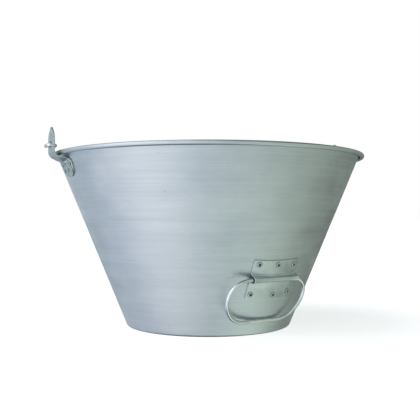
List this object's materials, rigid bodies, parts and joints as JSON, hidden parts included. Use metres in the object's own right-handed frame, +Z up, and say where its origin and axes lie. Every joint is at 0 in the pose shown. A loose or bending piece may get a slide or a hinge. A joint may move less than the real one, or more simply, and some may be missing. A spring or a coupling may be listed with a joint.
{
  "type": "mortar mixing tub",
  "caption": "Round spun aluminium mortar tub, conical with a flat base and rolled rim, with a wire bail in riveted ears and a tipping ring in a bracket low on the wall.",
  "frame": {"origin": "on the tub's axis, on the surface it stands on", "axes": "+Z up along the tub's axis; the two ears lie on X; the bracket with the tipping ring faces -Y; the bail is laid back towards +Y"},
  "size_m": [0.509, 0.48, 0.2932],
  "materials": {
    "spun_aluminium": "spun, fine lines round the tub",
    "zinc_plate": "zinc-plated, slightly mottled",
    "plated_wire": "drawn and plated, smooth",
    "pressed_aluminium": "pressed sheet, satin",
    "rivet_aluminium": "satin",
    "mandrel_steel": "dull, broken end"
  },
  "bodies": {
    "tub": {"tub_shell": "spun_aluminium", "ear_left": "zinc_plate", "ear_right": "zinc_plate", "handle_bracket": "pressed_aluminium", "ear_left_rivet_1": "rivet_aluminium", "ear_left_mandrel_1": "mandrel_steel", "ear_left_rivet_2": "rivet_aluminium", "ear_left_mandrel_2": "mandrel_steel", "ear_left_rivet_3": "rivet_aluminium", "ear_left_mandrel_3": "mandrel_steel", "ear_left_rivet_4": "rivet_aluminium", "ear_left_mandrel_4": "mandrel_steel", "ear_left_rivet_5": "rivet_aluminium", "ear_left_mandrel_5": "mandrel_steel", "ear_right_rivet_1": "rivet_aluminium", "ear_right_mandrel_1": "mandrel_steel", "ear_right_rivet_2": "rivet_aluminium", "ear_right_mandrel_2": "mandrel_steel", "ear_right_rivet_3": "rivet_aluminium", "ear_right_mandrel_3": "mandrel_steel", "ear_right_rivet_4": "rivet_aluminium", "ear_right_mandrel_4": "mandrel_steel", "ear_right_rivet_5": "rivet_aluminium", "ear_right_mandrel_5": "mandrel_steel", "bracket_rivet_1": "rivet_aluminium", "bracket_mandrel_1": "mandrel_steel", "bracket_rivet_2": "rivet_aluminium", "bracket_mandrel_2": "mandrel_steel", "bracket_rivet_3": "rivet_aluminium", "bracket_mandrel_3": "mandrel_steel", "bracket_rivet_4": "rivet_aluminium", "bracket_mandrel_4": "mandrel_steel", "bracket_rivet_5": "rivet_aluminium", "bracket_mandrel_5": "mandrel_steel", "bracket_rivet_6": "rivet_aluminium", "bracket_mandrel_6": "mandrel_steel"},
    "bail": {"bail": "plated_wire"},
    "tipping_ring": {"tipping_ring": "plated_wire"}
  },
  "joints": [
    {"name": "bail_swing", "type": "hinge", "parent": "tub", "child": "bail", "pos_m": [0, 0, 0.2678], "axis": [1, 0, 0], "range_deg": [0, 178]},
    {"name": "ring_swing", "type": "hinge", "parent": "tub", "child": "tipping_ring", "pos_m": [0.02078, -0.16221, 0.08167], "axis": [-0.9919, -0.1271, 0], "range_deg": [0, 179]}
  ]
}
